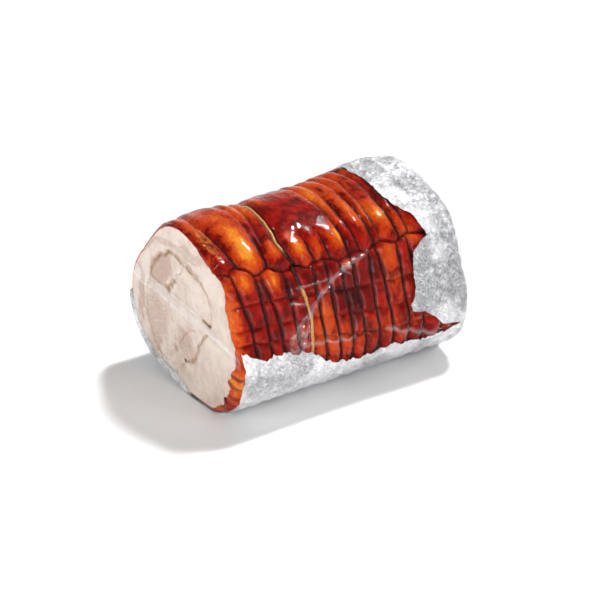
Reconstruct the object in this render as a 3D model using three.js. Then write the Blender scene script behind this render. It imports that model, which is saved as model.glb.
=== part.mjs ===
// Half a porchetta: a boned pork belly rolled round its filling, baked in an
// elastic net, part wrapped in aluminium foil and vacuum packed in clear film.
//
// Millimetres, +Z up. +X runs along the roll from the cut face to the wrapped
// end, and the origin is under the middle of the whole pack, on the table.
// Angles go round the roll from +Y over the top (+Z, 90 degrees) to -Y (180).
import * as THREE from 'three';
import { mergeVertices } from 'three/addons/utils/BufferGeometryUtils.js';

// The roll: its cross-section is a circle with a few broad lobes.
const LENGTH = 240;
const MEAN_RADIUS = 83.7;
const LOBES = [
  { count: 2, height: 6.4, crest: 16 },
  { count: 3, height: 5.9, crest: -64 },
  { count: 4, height: 0.9, crest: -113 },
  { count: 5, height: 1.7, crest: -48 },
  { count: 6, height: 1.0, crest: 105 },
];
const WIDENING = 0.02; // how much wider the wrapped end is than the cut face
const AXIS_HEIGHT = 73.7; // the roll's middle above the table, at the cut face
const RIM = 2.5; // the bevel round both ends

// The net: hoops round the roll, joined by strings that run along it.
const HOOPS = [18, 32, 45, 59, 73, 87, 101, 115, 128, 142, 157, 174, 191, 208, 225];
const STRINGS = [140, 158, 173, 185, 198, 217, 240, 257, 274, 298, 326, 356, 390, 424];
const CORD = 2; // across a hoop or a string
const GROOVE_DEPTH = 4; // how far the net bites into the rind
const GROOVE_FLOOR = 3.2; // width of a groove at its bottom
const CORD_CLEARANCE = 1; // between a groove's bottom and the cord in it
const WIDEST_FACET = 18; // degrees that one flat of the skin may span

// The wraps lie over the bulges, each one clear of what it covers.
const GAP = 0.4;
const SHEET = 0.5;
const FOIL_IN = GAP;
const FOIL_OUT = FOIL_IN + SHEET;
const FILM_IN = FOIL_OUT + GAP;
const FILM_OUT = FILM_IN + SHEET;

// The foil's torn edge: how far from the cut face it starts, at each angle.
// Along the underside (about 205 to 345 degrees) it reaches the cut face.
const TORN_EDGE = [
  [66, 188], [110, 190], [130, 200], [144, 208], [152, 190], [172, 185], [182, 178],
  [186, 193], [200, 226], [205, 3], [345, 3], [350, 150], [356, 185], [426, 188],
];

// The bag's seal: a flat two-layer tail behind the wrapped end, open here.
const TAIL_LENGTH = 12;
const TAIL_HALF_WIDTH = 58;
const TAIL_HALF_GAP = 0.8;

const { degToRad, inverseLerp, lerp } = THREE.MathUtils;

// A closed skin built up from triangles. Those with no area are left out, so a
// ring of points may shrink to one point.
class Skin {
  constructor() {
    this.corners = [];
  }

  triangle(...points) {
    const [a, b, c] = points;
    if (a.equals(b) || b.equals(c) || c.equals(a)) return;
    for (const point of points) this.corners.push(...point.toArray());
  }

  quad(a, b, c, d) {
    this.triangle(a, b, c);
    this.triangle(a, c, d);
  }

  geometry() {
    const soup = new THREE.BufferGeometry();
    soup.setAttribute('position', new THREE.Float32BufferAttribute(this.corners, 3));
    const merged = mergeVertices(soup);
    merged.computeVertexNormals();
    return merged;
  }
}

// Joins rings of equally many points, in order, into one closed skin. The first
// and last rings are single points repeated.
function loft(rings) {
  const skin = new Skin();
  for (let k = 1; k < rings.length; k++) {
    const near = rings[k - 1];
    const far = rings[k];
    near.forEach((point, j) => {
      const next = (j + 1) % near.length;
      skin.quad(point, near[next], far[next], far[j]);
    });
  }
  return skin.geometry();
}

function sectionRadius(angle) {
  return LOBES.reduce(
    (radius, { count, height, crest }) =>
      radius + height * Math.cos(degToRad(count * angle - crest)),
    MEAN_RADIUS,
  );
}

function axisHeight(along) {
  return AXIS_HEIGHT * (1 + (WIDENING * along) / LENGTH);
}

// A point on the roll's skin, or standOff above it. Every layer is flattened
// where the pack rests, so that the film's outside lies on the table.
function skinPoint(along, angle, standOff) {
  const centre = axisHeight(along);
  const down = -Math.sin(degToRad(angle));
  const free = (centre / AXIS_HEIGHT) * sectionRadius(angle) + standOff;
  const lowest = FILM_OUT - standOff;
  const radius = down > 0 ? Math.min(free, (centre - lowest) / down) : free;
  return new THREE.Vector3(along, radius * Math.cos(degToRad(angle)), centre - radius * down);
}

// Angles round the roll: both sides of every string, and enough flats between.
function anglesAround(stringWidth) {
  const half = (stringWidth / 2 / MEAN_RADIUS) * THREE.MathUtils.RAD2DEG;
  return STRINGS.flatMap((angle, k) => {
    const next = k + 1 < STRINGS.length ? STRINGS[k + 1] : STRINGS[0] + 360;
    const flats = Math.max(2, Math.ceil((next - angle) / WIDEST_FACET));
    const between = Array.from({ length: flats - 1 }, (_, n) => ({
      angle: lerp(angle, next, (n + 1) / flats),
      onString: false,
    }));
    return [{ angle: angle - half, onString: true }, { angle: angle + half, onString: true }, ...between];
  });
}

const ROUND = anglesAround(GROOVE_FLOOR);

function middleOf(along, ring) {
  return ring.map(() => new THREE.Vector3(along, 0, axisHeight(along)));
}

// The two rings that turn a layer round an end's bevelled rim: the ring on the
// end, then the ring on the barrel. The direction out of the end is -1 or 1.
function rimRings(end, out, standOff) {
  const lean = standOff * Math.tan(Math.PI / 8);
  const onEnd = ROUND.map(({ angle }) => {
    const point = skinPoint(end, angle, lean - RIM);
    point.x = end + out * standOff;
    return point;
  });
  const onBarrel = ROUND.map(({ angle }) => skinPoint(end - out * (RIM - lean), angle, standOff));
  return [onEnd, onBarrel];
}

// One baked piece: the rolled meat with its rind, cut flat across at the front.
function roastGeometry() {
  const depthAt = (inGroove, onString) => (inGroove || onString ? -GROOVE_DEPTH : 0);
  const barrelRing = (along, inGroove) =>
    ROUND.map(({ angle, onString }) => skinPoint(along, angle, depthAt(inGroove, onString)));
  const edges = [0, ...HOOPS, LENGTH];
  const barrel = HOOPS.flatMap((hoop, k) => [
    barrelRing(lerp(edges[k], hoop, 0.5), false),
    barrelRing(hoop - GROOVE_FLOOR / 2, true),
    barrelRing(hoop + GROOVE_FLOOR / 2, true),
  ]);
  const [faceRim, faceEdge] = rimRings(0, -1, 0);
  const [backRim, backEdge] = rimRings(LENGTH, 1, 0);
  return loft([
    middleOf(0, ROUND), faceRim, faceEdge, ...barrel, backEdge, backRim, middleOf(LENGTH, ROUND),
  ]);
}

// The net is one piece: a band for every hoop, and a band for every string from
// each hoop to the next.
function nettingGeometry() {
  const stations = HOOPS.flatMap((hoop) => [hoop - CORD / 2, hoop + CORD / 2]);
  const round = anglesAround(CORD);
  const inner = CORD_CLEARANCE - GROOVE_DEPTH;
  const isCord = (i, j) => {
    if (i < 0 || i >= stations.length - 1) return false;
    const acrossHoop = i % 2 === 0;
    const along = round[j].onString && round[(j + 1) % round.length].onString;
    return acrossHoop || along;
  };
  const corner = (i, j, standOff) => skinPoint(stations[i], round[j].angle, standOff);
  const skin = new Skin();
  for (let i = 0; i < stations.length - 1; i++) {
    for (let j = 0; j < round.length; j++) {
      if (!isCord(i, j)) continue;
      const next = (j + 1) % round.length;
      const previous = (j + round.length - 1) % round.length;
      const places = [[i, j], [i, next], [i + 1, next], [i + 1, j]];
      const neighbours = [[i - 1, j], [i, next], [i + 1, j], [i, previous]];
      const top = places.map((place) => corner(...place, inner + CORD));
      const under = places.map((place) => corner(...place, inner));
      skin.quad(...top);
      skin.quad(...under.toReversed());
      neighbours.forEach((neighbour, side) => {
        if (isCord(...neighbour)) return;
        const end = (side + 1) % places.length;
        skin.quad(top[end], top[side], under[side], under[end]);
      });
    }
  }
  return skin.geometry();
}

function tornEdgeAt(angle) {
  const start = TORN_EDGE[0][0];
  const wrapped = start + THREE.MathUtils.euclideanModulo(angle - start, 360);
  const k = TORN_EDGE.findIndex(([limit]) => limit >= wrapped);
  if (k === 0) return TORN_EDGE[0][1];
  const [[fromAngle, fromAlong], [toAngle, toAlong]] = [TORN_EDGE[k - 1], TORN_EDGE[k]];
  return lerp(fromAlong, toAlong, inverseLerp(fromAngle, toAngle, wrapped));
}

// One torn sheet: a cup over the wrapped end with a tongue under the roll.
function foilGeometry() {
  const layer = (standOff) => {
    const [backRim, backEdge] = rimRings(LENGTH, 1, standOff);
    const torn = ROUND.map(({ angle }) => skinPoint(tornEdgeAt(angle), angle, standOff));
    return [torn, backEdge, backRim, middleOf(LENGTH + standOff, ROUND)];
  };
  return loft([...layer(FOIL_IN).toReversed(), ...layer(FOIL_OUT)]);
}

// One bag of clear film round everything, drawn to a flat tail at the back.
function bagGeometry() {
  const slot = (along, standOff) => ROUND.map(({ angle }) => {
    const halfGap = TAIL_HALF_GAP + (standOff - FILM_IN);
    const halfWidth = TAIL_HALF_WIDTH + (standOff - FILM_IN);
    return new THREE.Vector3(
      along,
      halfWidth * Math.cos(degToRad(angle)),
      axisHeight(LENGTH) + halfGap * Math.sin(degToRad(angle)),
    );
  });
  const layer = (standOff) => {
    const [faceRim, faceEdge] = rimRings(0, -1, standOff);
    const [backRim, backEdge] = rimRings(LENGTH, 1, standOff);
    return [
      middleOf(-standOff, ROUND), faceRim, faceEdge, backEdge, backRim,
      slot(LENGTH + standOff, standOff), slot(LENGTH + FILM_OUT + TAIL_LENGTH, standOff),
    ];
  };
  return loft([...layer(FILM_OUT), ...layer(FILM_IN).toReversed()]);
}

function piece(name, geometry, look) {
  const mesh = new THREE.Mesh(geometry, new THREE.MeshStandardMaterial(look));
  mesh.name = name;
  return mesh;
}

const pack = new THREE.Group();
pack.add(
  piece('roast', roastGeometry(), { color: 0xa93a1c, roughness: 0.35, metalness: 0 }),
  piece('netting', nettingGeometry(), { color: 0xb98a4c, roughness: 0.7, metalness: 0 }),
  piece('foil_wrap', foilGeometry(), { color: 0xd4d6d8, roughness: 0.4, metalness: 1 }),
  piece('vacuum_bag', bagGeometry(), {
    color: 0xf4f6f8, roughness: 0.1, metalness: 0, transparent: true, opacity: 0.25,
  }),
);

// Stands the pack on the table with the origin under the middle of its box.
const box = new THREE.Box3().setFromObject(pack);
const middle = box.getCenter(new THREE.Vector3());
pack.position.set(-middle.x, -middle.y, -box.min.z);

export default pack;
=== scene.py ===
"""The looks of a vacuum-packed half porchetta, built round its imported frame.

Sizes are millimetres until a mesh is made. A place on the roll is (along,
angle): along is the distance from the cut face, and the angle goes round from
+Y (0 degrees) over the top (90) to -Y (180) and on to the underside (270 and
-90, where the surface's grid closes). A height is the distance out from the
roll's plain outline, and is below zero in the net's grooves.
"""
import math

import bpy
import numpy as np
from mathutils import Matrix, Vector


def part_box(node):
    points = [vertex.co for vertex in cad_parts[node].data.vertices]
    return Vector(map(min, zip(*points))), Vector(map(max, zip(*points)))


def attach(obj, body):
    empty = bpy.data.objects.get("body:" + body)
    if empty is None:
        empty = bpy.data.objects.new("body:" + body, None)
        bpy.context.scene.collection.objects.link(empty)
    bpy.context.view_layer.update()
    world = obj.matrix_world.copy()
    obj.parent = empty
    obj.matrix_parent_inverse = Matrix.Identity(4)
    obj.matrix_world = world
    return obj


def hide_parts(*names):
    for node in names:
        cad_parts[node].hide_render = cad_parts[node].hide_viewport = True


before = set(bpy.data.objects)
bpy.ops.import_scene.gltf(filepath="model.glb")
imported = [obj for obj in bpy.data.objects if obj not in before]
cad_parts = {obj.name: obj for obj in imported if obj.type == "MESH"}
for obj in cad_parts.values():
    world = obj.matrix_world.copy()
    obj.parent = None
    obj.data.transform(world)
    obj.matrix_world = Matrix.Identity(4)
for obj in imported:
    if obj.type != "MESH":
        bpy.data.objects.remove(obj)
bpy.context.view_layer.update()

MM = 0.001

# ---------------------------------------------------------------------------
# The roll's plain outline, as the frame has it
# ---------------------------------------------------------------------------

roast_low, roast_high = (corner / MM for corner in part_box("roast"))
LENGTH = roast_high.x - roast_low.x
MEAN_RADIUS = 83.7
# Broad lobes of the outline: how many go round, their height, where one crests.
LOBES = ((2, 6.4, 16), (3, 5.9, -64), (4, 0.9, -113), (5, 1.7, -48), (6, 1.0, 105))
WIDENING = 0.02  # how much wider the wrapped end is than the cut face
AXIS_HEIGHT = 73.7  # the roll's middle over the table, at the cut face
WRAPS = 1.8  # foil and film together, under the roll


def swell(along):
    return 1 + WIDENING * along / LENGTH


def outline_radius(angle):
    radius = MEAN_RADIUS
    for count, height, crest in LOBES:
        radius = radius + height * np.cos(np.radians(count * angle - crest))
    return radius


ROUND = np.arange(-90, 270, 1.0)
WIDEST = (swell(LENGTH) * outline_radius(ROUND) * np.cos(np.radians(ROUND))).max()
AXIS_Y = roast_high.y - WIDEST


def on_roll(along, angle, height, rests_at=0.0):
    """Points at a height over the roll's outline, flattened where they rest."""
    along, angle, height = np.broadcast_arrays(along, angle, height)
    turn = np.radians(angle)
    centre = AXIS_HEIGHT * swell(along)
    radius = swell(along) * outline_radius(angle) + height
    z = np.maximum(centre + radius * np.sin(turn), rests_at)
    y = AXIS_Y + radius * np.cos(turn)
    return np.stack([roast_low.x + along, y, z], -1)


def axis_point(along, out=0.0):
    """The roll's middle, or a point a little out from it along the roll."""
    return np.array([roast_low.x + along + out, AXIS_Y, AXIS_HEIGHT * swell(along)])


# ---------------------------------------------------------------------------
# Small tools for shapes
# ---------------------------------------------------------------------------


def ease(low, high, x):
    t = np.clip((x - low) / (high - low), 0, 1)
    return t * t * (3 - 2 * t)


def through(points, x):
    """A value read off a line through (place, value) points."""
    places, values = zip(*points)
    return np.interp(x, places, values)


def blob(along, angle, at, half_length, half_turn):
    """1 in the middle of an oval patch of the roll, fading to 0 round it."""
    u = (along - at[0]) / half_length
    v = (angle - at[1]) / half_turn
    return np.exp(-(u * u + v * v))


def marks(along, angle, places):
    """The sum of many patches: (along, angle), half sizes, strength."""
    return sum(strength * blob(along, angle, at, long, turn) for at, long, turn, strength in places)


def on_cut(y, z):
    """Places on a flat end, at (y, z) from the roll's middle."""
    return np.stack([np.zeros_like(y), y, z], -1)


def on_circle(radius, angle):
    turn = np.radians(angle)
    return on_cut(radius * np.cos(turn), radius * np.sin(turn))


def fan(middle, ring, share):
    """Rings from a middle point out to a ring, each at its share of the way."""
    return middle + (ring - middle) * share


def inner_shares(count):
    """Shares of the way out from 0, short of the ring itself."""
    return np.linspace(0, 1, count)[:-1, None, None]


class Noise:
    """Smooth, repeatable noise in space, about -1 to 1."""

    SIZE = 32

    def __init__(self, seed):
        random = np.random.default_rng(seed)
        self.table = random.uniform(-1, 1, (self.SIZE,) * 3)

    def __call__(self, points, grain):
        p = np.asarray(points) / grain
        cell = np.floor(p).astype(int)
        t = p - cell
        t = t * t * (3 - 2 * t)
        total = 0
        for corner in np.ndindex(2, 2, 2):
            weight = 1
            for axis, step in enumerate(corner):
                part = t[..., axis]
                weight = weight * (part if step else 1 - part)
            i, j, k = (np.moveaxis(cell + corner, -1, 0)) % self.SIZE
            total = total + weight * self.table[i, j, k]
        return total


NOISE_A = Noise(11)
NOISE_B = Noise(23)
NOISE_C = Noise(37)
SAG = 0.04  # how far a stretched sheet sags, per grid step squared


def spread(field, reach):
    """The highest value near each point of a grid, less the sag on the way."""
    high = field
    for step in range(1, reach + 1):
        padded = np.pad(field, ((step, step), (0, 0)), mode="edge")
        nearby = np.maximum(padded[: -2 * step], padded[2 * step:])
        high = np.maximum(high, nearby - SAG * step * step)
    rows = high
    for step in range(1, reach + 1):
        nearby = np.maximum(np.roll(rows, step, 1), np.roll(rows, -step, 1))
        high = np.maximum(high, nearby - SAG * step * step)
    return high


def soften(field, rounds):
    """A grid with its sharp steps evened out."""
    for _ in range(rounds):
        padded = np.pad(field, ((1, 1), (0, 0)), mode="edge")
        field = (padded[:-2] + 2 * field + padded[2:]) / 4
        field = (np.roll(field, 1, 1) + 2 * field + np.roll(field, -1, 1)) / 4
    return field


MEETS = 1e-6  # points closer than this are one


def placed(name, data):
    """A new object in the scene."""
    made = bpy.data.objects.new(name, data)
    bpy.context.scene.collection.objects.link(made)
    return made


def make_mesh(name, points, closed=False, values=None, materials=(), finishes=None):
    """An object from a grid of points; a row whose points all meet is one point."""
    rows, columns = points.shape[:2]
    numbers = np.zeros((rows, columns), int)
    keep = []
    count = 0
    for row in range(rows):
        is_tip = np.ptp(points[row], axis=0).max() < MEETS
        width = 1 if is_tip else columns
        numbers[row] = count if is_tip else np.arange(count, count + columns)
        keep.extend((row, column) for column in range(width))
        count += width
    picked = np.array(keep)
    corners = points[picked[:, 0], picked[:, 1]] * MM
    last = columns if closed else columns - 1
    faces = []
    finish_of_faces = []
    for row in range(rows - 1):
        for column in range(last):
            after = (column + 1) % columns
            face = (numbers[row, column], numbers[row, after],
                    numbers[row + 1, after], numbers[row + 1, column])
            unique = tuple(dict.fromkeys(int(n) for n in face))
            if len(unique) > 2:
                faces.append(unique)
                finish_of_faces.append(0 if finishes is None else finishes[row, column])
    mesh = bpy.data.meshes.new(name)
    mesh.from_pydata(corners.tolist(), [], faces)
    mesh.polygons.foreach_set("use_smooth", [True] * len(faces))
    for material in materials:
        mesh.materials.append(material)
    mesh.polygons.foreach_set("material_index", finish_of_faces)
    for key, field in (values or {}).items():
        attribute = mesh.attributes.new(key, "FLOAT", "POINT")
        attribute.data.foreach_set("value", field[picked[:, 0], picked[:, 1]].astype(np.float32))
    mesh.update()
    return placed(name, mesh)


def joined(objects, name):
    with bpy.context.temp_override(active_object=objects[0], selected_editable_objects=objects):
        bpy.ops.object.join()
    objects[0].name = name
    return objects[0]


# ---------------------------------------------------------------------------
# Node tools
# ---------------------------------------------------------------------------


class Signal:
    """A number that changes over a surface. Arithmetic on it adds Math nodes."""

    def __init__(self, finish, socket):
        self.finish = finish
        self.socket = socket

    def math(self, operation, *numbers, clamp=False):
        settings = {"operation": operation, "use_clamp": clamp}
        made = self.finish.node("ShaderNodeMath", settings, dict(enumerate(numbers)))
        return Signal(self.finish, made.outputs[0])

    def __add__(self, other):
        return self.math("ADD", self, other)

    def __sub__(self, other):
        return self.math("SUBTRACT", self, other)

    def __rsub__(self, other):
        return self.math("SUBTRACT", other, self)

    def __mul__(self, other):
        return self.math("MULTIPLY", self, other)

    __radd__ = __add__
    __rmul__ = __mul__

    def clamped(self):
        return self.math("ADD", self, 0.0, clamp=True)

    def within(self, low, high):
        """0 at low and below, 1 at high and above."""
        settings = {"interpolation_type": "SMOOTHSTEP"}
        sockets = {"Value": self, "From Min": low, "From Max": high}
        made = self.finish.node("ShaderNodeMapRange", settings, sockets)
        return Signal(self.finish, made.outputs["Result"])


class Finish:
    """A material and the nodes that make it."""

    def __init__(self, name):
        self.material = bpy.data.materials.new(name)
        self.material.use_nodes = True
        self.tree = self.material.node_tree
        self.tree.nodes.clear()
        self.place = self.node("ShaderNodeTexCoord").outputs["Object"]

    def node(self, kind, settings=None, sockets=None):
        made = self.tree.nodes.new(kind)
        for key, value in (settings or {}).items():
            setattr(made, key, value)
        for key, value in (sockets or {}).items():
            self.feed(made.inputs[key], value)
        return made

    def feed(self, socket, value):
        if isinstance(value, Signal):
            value = value.socket
        if isinstance(value, bpy.types.NodeSocket):
            self.tree.links.new(value, socket)
        else:
            socket.default_value = value

    def value(self, name):
        """One of the mesh's own values."""
        made = self.node("ShaderNodeAttribute", {"attribute_name": name})
        return Signal(self, made.outputs["Fac"])

    def noise(self, per_metre, detail=4.0, roughness=0.55, stretch=None, distortion=0.0):
        place = self.place
        if stretch:
            place = self.node("ShaderNodeMapping", None, {0: place, "Scale": stretch}).outputs[0]
        sockets = {"Vector": place, "Scale": per_metre, "Detail": detail,
                   "Roughness": roughness, "Distortion": distortion}
        return Signal(self, self.node("ShaderNodeTexNoise", None, sockets).outputs["Fac"])

    def facets(self, per_metre):
        """A height over flat dents, each tipped its own way."""
        sockets = {"Vector": self.place, "Scale": per_metre}
        made = self.node("ShaderNodeTexVoronoi", None, sockets)
        tip = self.vector("SUBTRACT", made.outputs["Color"], (0.5, 0.5, 0.5))
        away = self.vector("SUBTRACT", self.place, made.outputs["Position"])
        return Signal(self, self.vector("DOT_PRODUCT", tip, away, output="Value"))

    def vector(self, operation, first, second, output="Vector"):
        sockets = {0: first, 1: second}
        return self.node("ShaderNodeVectorMath", {"operation": operation}, sockets).outputs[output]

    def cells(self, per_metre):
        """How far each place is from the middle of its cell."""
        sockets = {"Vector": self.place, "Scale": per_metre}
        return Signal(self, self.node("ShaderNodeTexVoronoi", None, sockets).outputs["Distance"])

    def blend(self, amount, below, above):
        """A colour between two, by an amount from 0 to 1."""
        settings = {"data_type": "RGBA", "clamp_factor": True}
        return self.node("ShaderNodeMix", settings, {0: amount, 6: below, 7: above}).outputs[2]

    def two_tone(self, field, below, above):
        """Two colours in patches, with soft edges between them."""
        return self.blend(field.within(0.35, 0.65), below, above)

    def bump(self, height, depth_mm, strength):
        sockets = {"Height": height, "Distance": depth_mm * MM, "Strength": strength}
        return self.node("ShaderNodeBump", None, sockets).outputs["Normal"]

    def principled(self, **sockets):
        named = {}
        for key, value in sockets.items():
            named[key.replace("_", " ").title().replace("Ior", "IOR")] = value
        return self.node("ShaderNodeBsdfPrincipled", None, named).outputs[0]

    def done(self, shader):
        self.node("ShaderNodeOutputMaterial", None, {"Surface": shader})
        return self.material


def srgb(red, green, blue):
    """A colour given as it looks on a screen, 0 to 255, for a shader."""
    parts = (channel / 255 for channel in (red, green, blue))
    return (*(((c + 0.055) / 1.055) ** 2.4 if c > 0.04 else c / 12.92 for c in parts), 1.0)


# ---------------------------------------------------------------------------
# The net's lines, and the seam where the belly's flap ends
# ---------------------------------------------------------------------------

USUAL_BITE = 4.9

# Each hoop: where it usually runs; its route above the seam, as (angle, along);
# its route below the seam; and how deep it bites above the seam.
HOOPS = (
    (18, ((60, 16), (85, 12), (100, 15), (118, 17), (130, 19)),
     ((130, 9), (145, 11), (155, 14), (168, 16.5), (205, 17)),
     ((60, 2), (85, 2.5), (100, 4), (130, 4.5))),
    (32, ((60, 32), (130, 32)),
     ((136, 30), (150, 31), (165, 32), (205, 32.5)), ((50, 4), (66, 0), (130, 0))),
    (45, ((60, 47), (95, 50), (120, 48), (135, 46)),
     ((136, 36), (150, 39), (158, 42), (166, 44), (205, 44.5)),
     ((60, 4), (85, 1.2), (105, 2.2), (122, 5), (135, 5.5))),
    (59, ((60, 60), (95, 60), (105, 57), (118, 52), (128, 49)),
     ((138, 58), (150, 58.5), (172, 60), (205, 59)),
     ((60, 4), (80, 2), (95, 3.5), (110, 4), (120, 2.4), (128, 0))),
    (73, ((60, 73), (80, 73), (100, 72), (112, 70), (120, 66.5), (130, 68), (138, 71)),
     ((140, 68), (148, 70), (158, 74), (172, 76), (190, 72), (205, 72)),
     ((60, 4), (80, 5.5), (105, 7), (138, 7))),
    (87, ((60, 87), (112, 90), (140, 92)),
     ((141, 88), (155, 86.5), (172, 86), (205, 87)), ((60, 3), (72, 0), (118, 0), (125, 3.6), (133, 5))),
    (101, ((60, 101), (112, 107), (140, 108)),
     ((141, 100), (160, 100), (205, 102)), ((60, 3), (72, 0), (118, 0), (125, 3.4), (140, 5))),
    (115, ((60, 115), (85, 124), (100, 127), (142, 127)),
     ((143, 114), (172, 116), (205, 114)), ((60, 2.2), (85, 1.2), (100, 3.0), (142, 5.5))),
    (128, ((60, 130), (85, 138), (120, 138), (141, 138)),
     ((142, 127), (160, 127.5), (205, 128)), ((60, 2.2), (92, 1.8), (106, 4.2), (141, 5))),
    (142, ((60, 145), (85, 154), (105, 156), (138, 155)),
     ((141, 145), (160, 144), (172, 143), (205, 142)), ((60, 2.4), (92, 2), (106, 4.2), (141, 4.8))),
    (157, ((60, 158), (85, 166), (105, 165), (138, 161)),
     ((141, 153), (155, 156), (205, 158)), ((60, 2.4), (100, 2.4), (120, 3.4), (138, 2.4))),
    (174, ((60, 174), (90, 181), (140, 181)),
     ((142, 176), (172, 175), (205, 176)), ((60, 3), (95, 2.5), (115, 4.5), (140, 5.5))),
    (191, ((60, 190), (139, 192)),
     ((140, 187), (155, 189), (205, 192)), ((60, 4), (140, 4))),
    (208, ((60, 208), (140, 209)), ((140, 208), (205, 211)), ((60, 4), (140, 4))),
    (225, ((60, 225), (140, 225)), ((140, 225), (205, 226)), ((60, 4), (140, 4))),
)

# Each string: its angle at the cut face and at the wrapped end.
STRINGS = ((-86, -86), (-62, -62), (-34, -34), (-4, -4), (30, 30), (64, 64),
           (153, 164), (167, 179), (176, 191), (188, 203), (207, 218), (233, 240), (257, 257))

# The seam, a zigzag between the fat bulges above and the small cells below.
SEAM = ((0, 130), (9, 133), (13, 130), (18, 129), (24, 132), (31, 137.5), (38, 137), (46, 134.5),
        (52, 138), (60, 139.5), (67, 139), (70, 137.5), (76, 139.5), (84, 142.5), (90, 140.5),
        (100, 139), (108, 141), (115, 143.5), (124, 143), (130, 140.5), (138, 141.5), (147, 143),
        (153, 141), (162, 139), (172, 141.5), (178, 142.5), (190, 139), (200, 141), (240, 144))
SEAM_BITE = 5.8
ARC = MEAN_RADIUS * math.pi / 180  # one degree round the roll, in mm

# Where flesh swells between the cords: (along, angle), half sizes, height.
BULGES = (
    ((33, 112), 12, 22, 3.2), ((57, 121), 6, 11, 1.4), ((95, 104), 19, 20, 2.8), ((118, 127), 8, 10, 1.3),
    ((80, 130), 6, 8, 1.2), ((147, 118), 7, 14, 1.0), ((172, 124), 9, 11, 1.6), ((19, 138), 9, 8, 1.6),
    ((47, 142), 8, 8, 1.2), ((102, 145), 10, 6, 1.1), ((136, 146), 8, 6, 1.0), ((164, 145), 9, 7, 1.2),
    ((192, 143), 8, 5, 1.0), ((25, 55), 14, 18, 1.5), ((120, 20), 30, 20, 1.5), ((205, 60), 20, 20, 1.2),
    ((60, -10), 25, 18, 1.5),
)


def pillow(reach):
    """How a bulge rises from a groove: 0 in the groove, 1 at its full reach."""
    t = np.clip(reach, 0, 1)
    return (1 - (1 - t) ** 2) ** 0.78


def is_above_seam(along, angle):
    return angle < through(SEAM, along)


def hoop_route(hoop, angle, above):
    """Where a hoop runs at these angles, above the seam or below it."""
    usual, upper, lower, _ = hoop
    near = ((20, usual), *upper) if above else (*lower, (240, usual))
    return through(near, angle)


def hoop_along(hoop, angle, above):
    """Where a hoop runs, on whichever side of the seam each place is."""
    return np.where(above, hoop_route(hoop, angle, True), hoop_route(hoop, angle, False))


def hoop_bite(hoop, angle, above):
    _, _, _, bites = hoop
    if above:
        return through(((20, USUAL_BITE), *bites), angle)
    return through(((138, 4.2), (152, USUAL_BITE + 0.6)), angle)


def string_angle(string, along):
    start, end = string
    return start + (end - start) * ease(0, 170, along)


# How far from a cord or the seam its groove reaches, above and below the seam.
HOOP_REACH = (8.5, 7.2)
SEAM_REACH = (11, 7)
STRING_REACH = 5.5

# How far the crest stands above the plain outline, along the roll.
CREST_LIFT = ((0, -0.5), (20, 2), (36, 3), (53, 2.5), (66, -1.5), (72, -2), (80, -1), (100, 0),
              (135, 0), (152, 1.6), (168, 3.4), (185, 5), (201, 5), (218, 6), (234, 4.5), (240, 2))
CREST = 59  # the angle of the crest


def lift(along, angle):
    """The fatter upper half, and most of all along its crest."""
    upper = 1.9 * ease(20, 55, angle) * ease(212, 185, angle)
    return upper + through(CREST_LIFT, along) * np.exp(-(((angle - CREST) / 24) ** 2))


def roast_height(along, angle):
    """The roll's relief, and how deep in a groove each place is."""
    above = is_above_seam(along, angle)
    spot = on_roll(along, angle, 0)
    waver = 0.7 * NOISE_A(spot, 9) + 0.3 * NOISE_B(spot, 4)
    hoop_dip = np.zeros_like(along)
    for hoop in HOOPS:
        bite = np.where(above, hoop_bite(hoop, angle, True), hoop_bite(hoop, angle, False))
        away = np.abs(along - hoop_along(hoop, angle, above) + 0.8 * waver)
        reach = np.where(above, *HOOP_REACH)
        hoop_dip = np.maximum(hoop_dip, bite * (1 - pillow(away / reach)))
    string_dip = np.zeros_like(along)
    for string in STRINGS:
        away = ARC * np.abs(angle - string_angle(string, along) + 0.8 * waver)
        bite = 3.0 + 1.6 * NOISE_B(spot * (1, 0.3, 0.3), 17)
        string_dip = np.maximum(string_dip, bite * (1 - pillow(away / STRING_REACH)))
    off_seam = ARC * (angle - through(SEAM, along) + 0.6 * waver)
    seam_reach = np.where(off_seam < 0, *SEAM_REACH)
    seam_dip = SEAM_BITE * (1 - pillow(np.abs(off_seam) / seam_reach))
    dip = (hoop_dip ** 3 + np.abs(string_dip) ** 3 + seam_dip ** 3) ** (1 / 3)
    lumps = 0.9 * NOISE_A(spot, 26) + 0.45 * NOISE_B(spot, 11)
    fine = 0.16 * NOISE_C(spot, 3.2) + 0.08 * NOISE_A(spot, 1.7)
    pucker = 0.5 * NOISE_C(spot * (0.35, 1, 1), 2.6) * np.clip(dip / 4, 0, 1)
    swelling = marks(along, angle, BULGES) * np.clip(1 - dip / 6, 0, 1)
    height = swelling + lumps + fine + pucker - dip + lift(along, angle)
    shade = np.maximum(np.maximum(hoop_dip / 4.8, string_dip / 5.5), seam_dip / 6.8)
    return height, np.clip(shade, 0, 1.4)


# ---------------------------------------------------------------------------
# The roast
# ---------------------------------------------------------------------------

COLUMNS = 540
ANGLES = np.linspace(-90, 270, COLUMNS, endpoint=False)
FINE_ROWS = np.arange(0, 10, 0.5)
LAST_ROWS = LENGTH - np.array([4.5, 3, 1.8, 0.9, 0.3, 0])
BARREL_ROWS = np.concatenate([FINE_ROWS, np.linspace(10, LENGTH - 6, 250), LAST_ROWS])
FACE_RINGS = 110
BACK_RINGS = 24  # rings on the wrapped end, under the foil

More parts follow.
